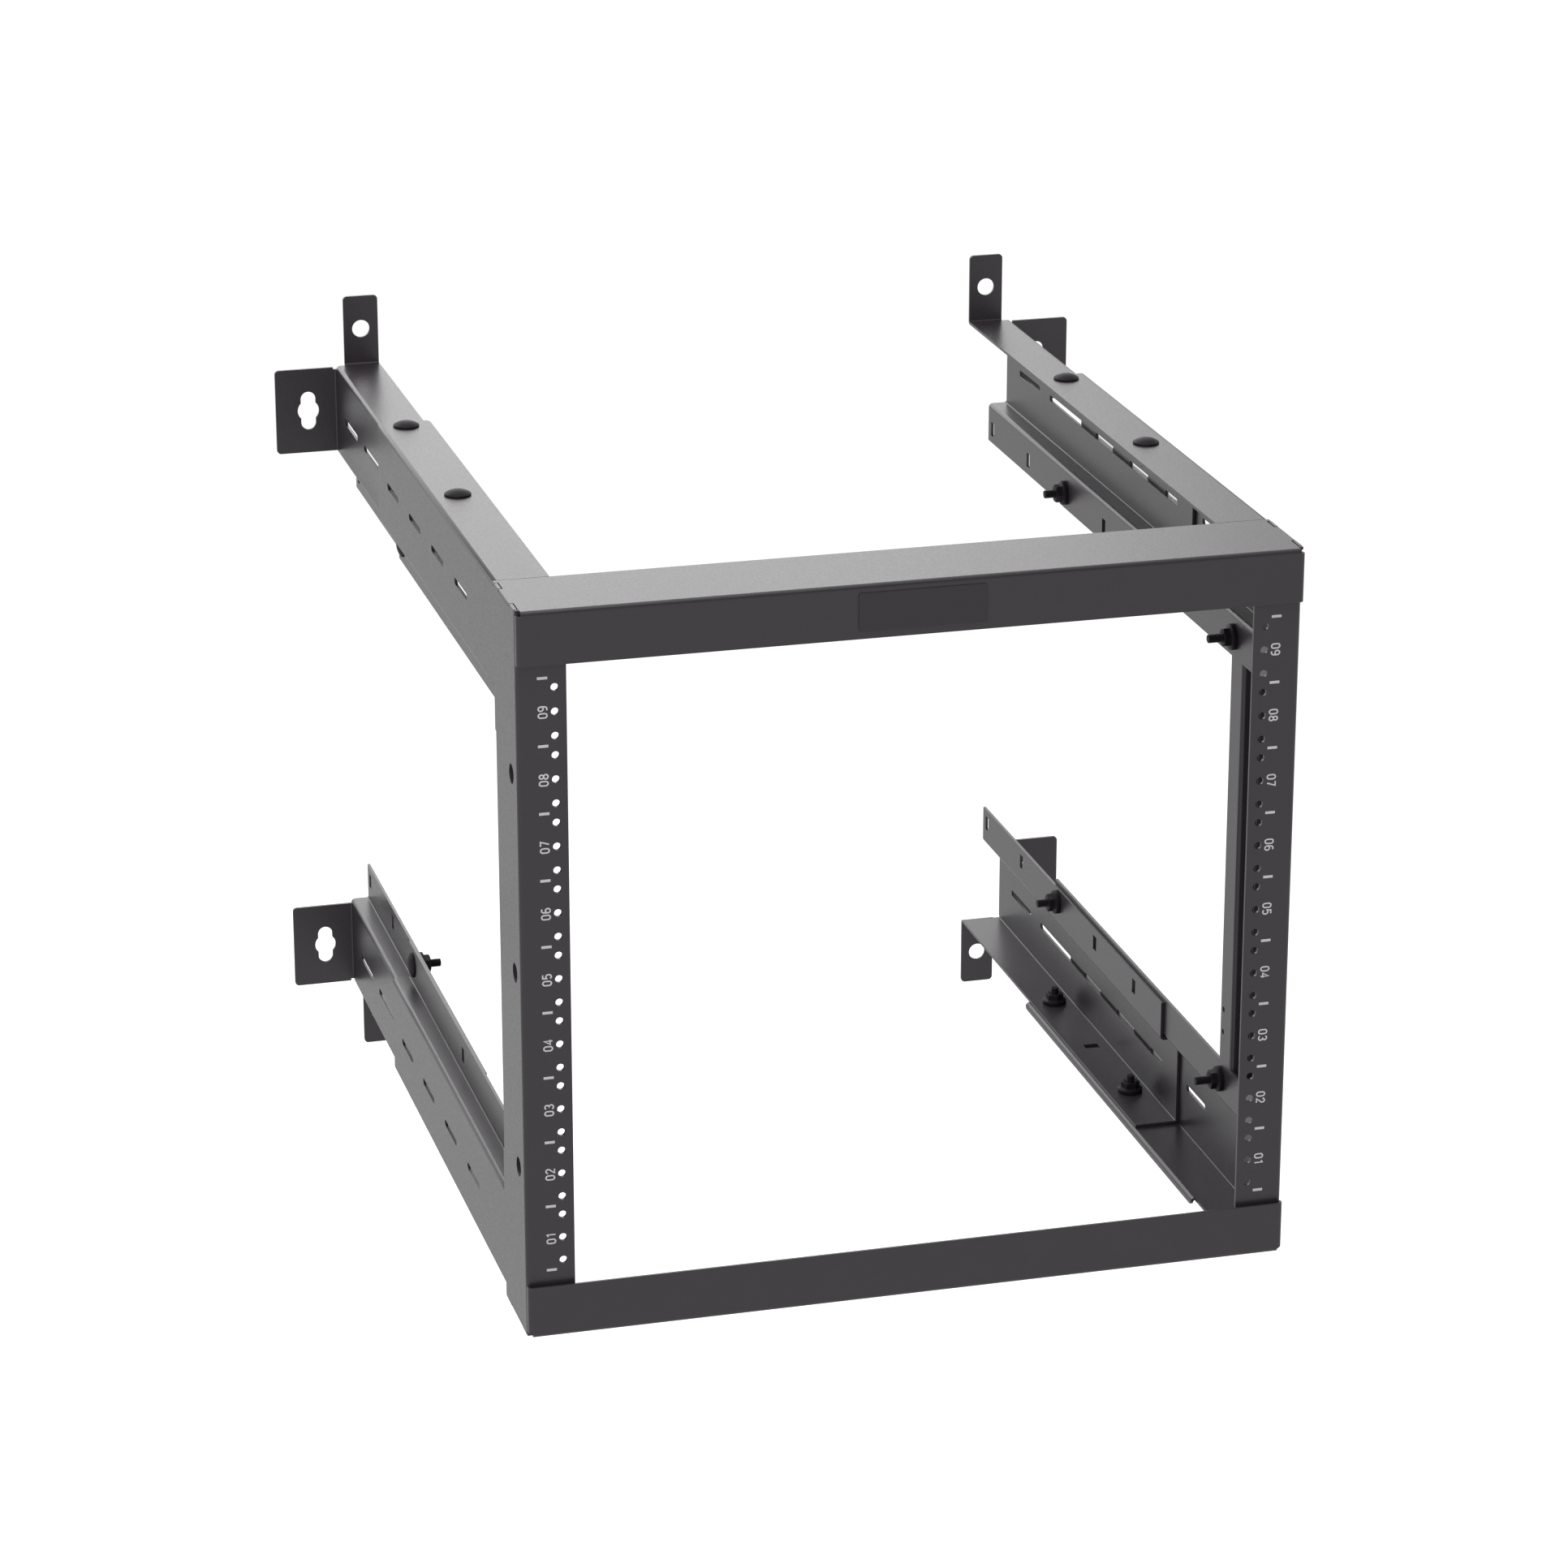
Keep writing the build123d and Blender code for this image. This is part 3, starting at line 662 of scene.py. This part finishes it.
def unit_numbers(marks):
    """Numbers 01 to 09 on both rails, each turned to read along its rail."""
    bm = bmesh.new()
    front = RAIL_FACE - marks.film * MM
    hair = 0.02 * MM
    scale = marks.height / DIGIT_HEIGHT * MM
    step = DIGIT_WIDTH + DIGIT_GAP
    half = step - DIGIT_GAP / 2
    for side, centre in zip((-1, 1), rail_centres(marks)):
        for unit in range(UNITS):
            middle = UNIT_BASE + (unit + 0.5) * UNIT
            text = "%02d" % (unit + 1)
            for index, digit in enumerate(text):
                for layer, line in enumerate(DIGITS[digit]):
                    def place(p, share, index=index, layer=layer, middle=middle,
                              centre=centre, side=side):
                        along = (p.x + index * step - half) * scale
                        up = (p.y - DIGIT_HEIGHT / 2) * scale
                        # Where strokes cross, the later one lies a hair in front.
                        depth = front - (layer + share) * hair
                        # The left rail reads upwards and the right rail downwards.
                        return (centre + side * up, depth, middle - side * along)
                    ribbon(bm, line, marks.stroke, place)
    for face in bm.faces:
        face.normal_update()
        if face.normal.y > 0:
            face.normal_flip()
    return from_bmesh("unit_numbers", bm)


def tick_tree():
    """A column of printed ticks from each given point, one at each boundary between units."""
    tree, given, out = geometry_tree(
        "unit_ticks", ("Count", "NodeSocketInt", 10), ("Pitch", "NodeSocketFloat", UNIT),
        ("Length", "NodeSocketFloat", 6 * MM), ("Width", "NodeSocketFloat", 1.7 * MM),
        ("Finish", "NodeSocketMaterial", None))
    step = add(tree, "ShaderNodeCombineXYZ", Z=given["Pitch"])
    column = add(tree, "GeometryNodeMeshLine", Count=given["Count"], Offset=step.outputs[0])
    tick = add(tree, "GeometryNodeMeshGrid", Size_X=given["Length"], Size_Y=given["Width"],
               Vertices_X=2, Vertices_Y=2)
    upright = add(tree, "GeometryNodeTransform", Geometry=tick.outputs["Mesh"],
                  Rotation=(math.pi / 2, 0.0, 0.0))
    columns = add(tree, "GeometryNodeInstanceOnPoints", Points=given["Geometry"],
                  Instance=column.outputs["Mesh"])
    points = add(tree, "GeometryNodeRealizeInstances", Geometry=columns.outputs[0])
    ticks = add(tree, "GeometryNodeInstanceOnPoints", Points=points.outputs[0],
                Instance=upright.outputs[0])
    real = add(tree, "GeometryNodeRealizeInstances", Geometry=ticks.outputs[0])
    inked = add(tree, "GeometryNodeSetMaterial", Geometry=real.outputs[0],
                Material=given["Finish"])
    tree.links.new(inked.outputs[0], out.inputs[0])
    return tree


# Studio

RACK_MIDDLE = (cad_low + cad_high) / 2
FLOOR_REACH = 30.0

# Each soft light's place from the middle of the rack, and its width
BACK_LIGHT = ((-0.2, 2.6, 1.5), 3.2)
TOP_LIGHT = ((-0.4, -0.6, 2.6), 2.4)
FRONT_LIGHT = ((-1.6, -2.8, 1.2), 2.0)

# The photograph is stretched sideways by about a tenth. This is the square-pixel camera that
# fits it best, with the rack's true proportions.
CAMERA_PLACE = (-0.647, -3.5503, 0.9447)
CAMERA_TURN = math.radians(15.179)    # to the right of straight ahead
CAMERA_TILT = math.radians(19.571)    # down from level
SENSOR_WIDTH = 36.0                   # in millimetres, as the lens


def paper_floor(looks):
    """A wide sheet of paper below the rack, which hangs above it as in the photograph."""
    reach, low = FLOOR_REACH, cad_low.z - looks.drop * MM
    floor = bpy.data.meshes.new("paper_floor")
    floor.from_pydata([(-reach, -reach, low), (reach, -reach, low), (reach, reach, low),
                       (-reach, reach, low)], [], [(0, 1, 2, 3)])
    floor.materials.append(studio_paper(looks))
    new_object("paper_floor", floor)


def studio_air(looks):
    """Weak light from all round, and white surroundings for the camera and for reflections.

    Reflections find white paper behind the rack and a dim room in front of it.
    """
    world = bpy.data.worlds.get("studio_air") or bpy.data.worlds.new("studio_air")
    bpy.context.scene.world = world
    world.use_nodes = True
    tree = world.node_tree
    tree.nodes.clear()
    path = add(tree, "ShaderNodeLightPath").outputs
    direct = calc(tree, "MAXIMUM", path["Is Camera Ray"], path["Is Glossy Ray"])
    seen = calc(tree, "MAXIMUM", direct, path["Is Transmission Ray"])
    way = add(tree, "ShaderNodeSeparateXYZ",
              Vector=add(tree, "ShaderNodeTexCoord").outputs["Generated"])
    room = add(tree, "ShaderNodeMapRange", Value=way.outputs["Y"], From_Min=-0.5,
               From_Max=0.3, To_Min=looks.room, To_Max=1.0)
    level = calc(tree, "MAXIMUM", room.outputs["Result"], path["Is Camera Ray"])
    air = add(tree, "ShaderNodeBackground", Color=(1, 1, 1, 1), Strength=looks.ambient)
    white = add(tree, "ShaderNodeBackground", Color=(1, 1, 1, 1), Strength=level)
    both = add(tree, "ShaderNodeMixShader", i0=seen, i1=air.outputs[0], i2=white.outputs[0])
    add(tree, "ShaderNodeOutputWorld", Surface=both.outputs[0])


def softbox(name, power, place, width):
    """A round soft light that faces the middle of the rack."""
    light = bpy.data.lights.new(name, "AREA")
    light.energy, light.shape, light.size = power, "DISK", width
    lamp = new_object(name, light)
    lamp.location = RACK_MIDDLE + place
    lamp.rotation_euler = (-place).to_track_quat("-Z", "Y").to_euler()


def photo_camera(looks):
    """The camera that sees the rack as the photograph does."""
    camera = bpy.data.cameras.new("photo_camera")
    camera.lens, camera.sensor_width, camera.sensor_fit = looks.lens, SENSOR_WIDTH, "HORIZONTAL"
    camera.clip_end = 200.0
    holder = new_object("photo_camera", camera)
    holder.location = CAMERA_PLACE
    holder.rotation_euler = (math.pi / 2 - CAMERA_TILT, 0.0, -CAMERA_TURN)
    bpy.context.scene.camera = holder


# Sizes and colours that a user may change

def length(name, about, value, low, high):
    """A size in millimetres."""
    return FloatProperty(name=name, description=about + ", in millimetres", default=value,
                         min=low, max=high)


def fraction(name, about, value):
    """A value between 0 and 1."""
    return FloatProperty(name=name, description=about, default=value, min=0.0, max=1.0)


def watts(name, about, value):
    """A light's power."""
    return FloatProperty(name=name, description=about + ", in watts", default=value, min=0.0)


def hex_colour(name, about, value):
    """A colour as six sRGB hex digits."""
    return StringProperty(name=name, description=about + ", as hex", default=value)


class RackSheet(bpy.types.PropertyGroup):
    """Folded sheet parts and their coat."""
    edge: length("Edge radius", "Rounding of the bars' and arms' cut edges", 0.3, 0.05, 0.6)
    corner: length("Label corner", "Radius of the label's corners", 1.5, 0.5, 5.0)
    peel: length("Orange peel", "Size of the texture of the coat", 1.1, 0.2, 3.0)
    rough: FloatProperty(name="Roughness", description="Roughness of the coat", default=0.33,
                         min=0.1, max=0.9)
    coat: hex_colour("Coat", "Colour of the coat", "3A353A")
    film: hex_colour("Label", "Colour of the bare label", "322D32")


class RackFasteners(bpy.types.PropertyGroup):
    """Carriage bolts and flange nuts."""
    head: length("Head", "Diameter of a bolt's head", 18.0, 14.0, 18.5)
    rim: length("Rim", "Height of the head's straight rim", 1.1, 0.6, 2.0)
    dome: length("Dome", "Height of the head's dome", 2.9, 1.0, 3.0)
    thread: length("Thread", "Diameter of the thread", 6.2, 4.0, 6.3)
    pitch: length("Pitch", "Pitch of the thread", 1.0, 0.5, 1.5)
    lip_bolt: length("Lip bolts", "Length of the bolts in the lips", 20.0, 12.0, 20.0)
    flange_bolt: length("Flange bolts", "Length of the bolts in the wide flanges", 16.5, 12.0,
                        20.0)
    flats: length("Nut", "Across the flats of a nut", 11.5, 9.0, 13.0)
    nut_height: length("Nut height", "Height of a nut with its flange", 8.0, 5.0, 9.0)
    flange: length("Flange", "Diameter of a nut's flange", 17.5, 13.0, 17.5)
    flange_height: length("Flange height", "Height of a nut's flange", 3.6, 1.5, 4.5)
    teeth: IntProperty(name="Serrations", description="Serrations under a nut's flange",
                       default=24, min=0, max=32)
    oxide: hex_colour("Oxide", "Colour of the oxide", "211D21")


class RackMarks(bpy.types.PropertyGroup):
    """Printed unit marks on the rails."""
    spread: length("Spread", "Middle of the rack to the middle of the marks", 240.3, 236.0, 250.0)
    tick: length("Tick", "Length of a tick", 6.6, 2.0, 12.0)
    tick_width: length("Tick width", "Width of a tick", 1.8, 0.3, 3.0)
    height: length("Digits", "Height of the digits", 6.3, 3.0, 8.0)
    stroke: length("Stroke", "Width of the digits' strokes, for digits 6 high", 0.92, 0.2, 1.5)
    film: length("Film", "Thickness of the ink", 0.04, 0.02, 0.1)
    ink: hex_colour("Ink", "Colour of the ink", "F8F7F8")


class RackStudio(bpy.types.PropertyGroup):
    """Floor, lights and camera."""
    drop: length("Floor", "Floor below the rack", 900.0, 0.0, 5000.0)
    paper: hex_colour("Paper", "Colour of the floor", "F4F4F4")
    paper_glow: fraction("Paper glow", "What lifts the paper to white", 0.72)
    paper_mirrored: fraction("Mirrored paper", "The paper in reflections", 0.9)
    room: fraction("Room", "What reflections find in front of the rack", 0.3)
    ambient: fraction("Ambient", "Light from all round", 0.32)
    back: watts("Back light", "Power of the light behind", 40.0)
    top: watts("Top light", "Power of the light above", 22.0)
    front: watts("Front light", "Power of the light in front", 18.5)
    lens: length("Lens", "Focal length", 117.913, 10.0, 500.0)


# Operators, one for each piece or group of like pieces

class RACK_OT_sheet_parts(bpy.types.Operator):
    """Side frames, bars and wall arms: folded sheet under powder coat"""
    bl_idname = "rack.sheet_parts"
    bl_label = "Sheet parts"

    def execute(self, context):
        looks = context.scene.rack_sheet
        coat = powder_coat(looks)
        for node in SHEET_NODES:
            # A side frame has corners too fine for the bevel, so its cut edges stay crisp.
            radius = 0.0 if node.endswith("side_frame") else looks.edge * MM
            coated_sheet(node, node + "_sheet", radius, coat)
        return {"FINISHED"}


class RACK_OT_bolts(bpy.types.Operator):
    """Carriage bolts: domed heads outside, threaded ends inside"""
    bl_idname = "rack.bolts"
    bl_label = "Carriage bolts"

    def execute(self, context):
        sizes = context.scene.rack_fasteners
        finish = black_oxide(sizes)
        for run, reach in (("flange", sizes.flange_bolt), ("lip", sizes.lip_bolt)):
            head = new_object("bolt_head", bolt_head(sizes))
            use_tree(head, threaded_stud_tree(), diameter=sizes.thread * MM,
                     pitch=sizes.pitch * MM, start=NECK_LENGTH, length=reach * MM)
            whole = evaluated(head, "carriage_bolt")
            bpy.data.objects.remove(head)
            set_fasteners(run + "_bolts", whole, "bolt", (run,), finish)
        return {"FINISHED"}


class RACK_OT_nuts(bpy.types.Operator):
    """Serrated flange nuts on the bolts"""
    bl_idname = "rack.nuts"
    bl_label = "Flange nuts"

    def execute(self, context):
        sizes = context.scene.rack_fasteners
        set_fasteners("flange_nuts", flange_nut(sizes), "nut", ("flange", "lip"),
                      black_oxide(sizes))
        return {"FINISHED"}


class RACK_OT_unit_ticks(bpy.types.Operator):
    """Printed ticks at the boundaries between rack units"""
    bl_idname = "rack.unit_ticks"
    bl_label = "Unit ticks"

    def execute(self, context):
        marks = context.scene.rack_marks
        feet = bpy.data.meshes.new("tick_feet")
        feet.from_pydata([(x, RAIL_FACE - marks.film * MM, UNIT_BASE)
                          for x in rail_centres(marks)], [], [])
        holder = new_object("tick_feet", feet)
        use_tree(holder, tick_tree(), count=UNITS + 1, pitch=UNIT, length=marks.tick * MM,
                 width=marks.tick_width * MM, finish=marking_ink(marks))
        ticks = evaluated(holder, "unit_ticks")
        bpy.data.objects.remove(holder)
        finish_piece(new_object("unit_ticks", ticks), "powder_coated_steel")
        return {"FINISHED"}


class RACK_OT_unit_numbers(bpy.types.Operator):
    """Printed numbers of the rack units"""
    bl_idname = "rack.unit_numbers"
    bl_label = "Unit numbers"

    def execute(self, context):
        marks = context.scene.rack_marks
        thing = new_object("unit_numbers", unit_numbers(marks))
        thing.data.materials.append(marking_ink(marks))
        finish_piece(thing, "powder_coated_steel")
        return {"FINISHED"}


class RACK_OT_label(bpy.types.Operator):
    """Bare label on the top bar"""
    bl_idname = "rack.label"
    bl_label = "Label"

    def execute(self, context):
        looks = context.scene.rack_sheet
        # The label is so thin that its edge takes half the radius of the sheet's.
        coated_sheet("label_plate", "bare_label", 0.5 * looks.edge * MM, label_film(looks),
                     "label", looks.corner * MM)
        return {"FINISHED"}


class RACK_OT_studio(bpy.types.Operator):
    """Pale paper floor, soft lights and the camera"""
    bl_idname = "rack.studio"
    bl_label = "Studio"

    def execute(self, context):
        looks = context.scene.rack_studio
        paper_floor(looks)
        studio_air(looks)
        for name, power, (place, width) in (("back_softbox", looks.back, BACK_LIGHT),
                                            ("top_softbox", looks.top, TOP_LIGHT),
                                            ("front_softbox", looks.front, FRONT_LIGHT)):
            softbox(name, power, Vector(place), width)
        photo_camera(looks)
        context.scene.view_settings.view_transform = "Standard"
        return {"FINISHED"}


class RACK_PT_panel(bpy.types.Panel):
    """Sizes, colours and pieces of the rack"""
    bl_idname = "RACK_PT_panel"
    bl_label = "Wall Mount Rack"
    bl_space_type = "VIEW_3D"
    bl_region_type = "UI"
    bl_category = "Rack"

    def draw(self, context):
        for name in ("rack_sheet", "rack_fasteners", "rack_marks", "rack_studio"):
            group = getattr(context.scene, name)
            box = self.layout.box()
            for key in group.__annotations__:
                box.prop(group, key)
        for operator in OPERATORS:
            self.layout.operator(operator.bl_idname)


GROUPS = {"rack_sheet": RackSheet, "rack_fasteners": RackFasteners, "rack_marks": RackMarks,
          "rack_studio": RackStudio}
OPERATORS = (RACK_OT_studio, RACK_OT_sheet_parts, RACK_OT_bolts, RACK_OT_nuts,
             RACK_OT_unit_ticks, RACK_OT_unit_numbers, RACK_OT_label)


def register():
    for cls in (*GROUPS.values(), *OPERATORS, RACK_PT_panel):
        bpy.utils.register_class(cls)
    for name, group in GROUPS.items():
        setattr(bpy.types.Scene, name, PointerProperty(type=group))


def unregister():
    for name in GROUPS:
        delattr(bpy.types.Scene, name)
    for cls in reversed((*GROUPS.values(), *OPERATORS, RACK_PT_panel)):
        bpy.utils.unregister_class(cls)


def main():
    register()
    bpy.ops.rack.studio()
    bpy.ops.rack.sheet_parts()
    bpy.ops.rack.bolts()
    bpy.ops.rack.nuts()
    bpy.ops.rack.unit_ticks()
    bpy.ops.rack.unit_numbers()
    bpy.ops.rack.label()


if __name__ == "__main__":
    main()
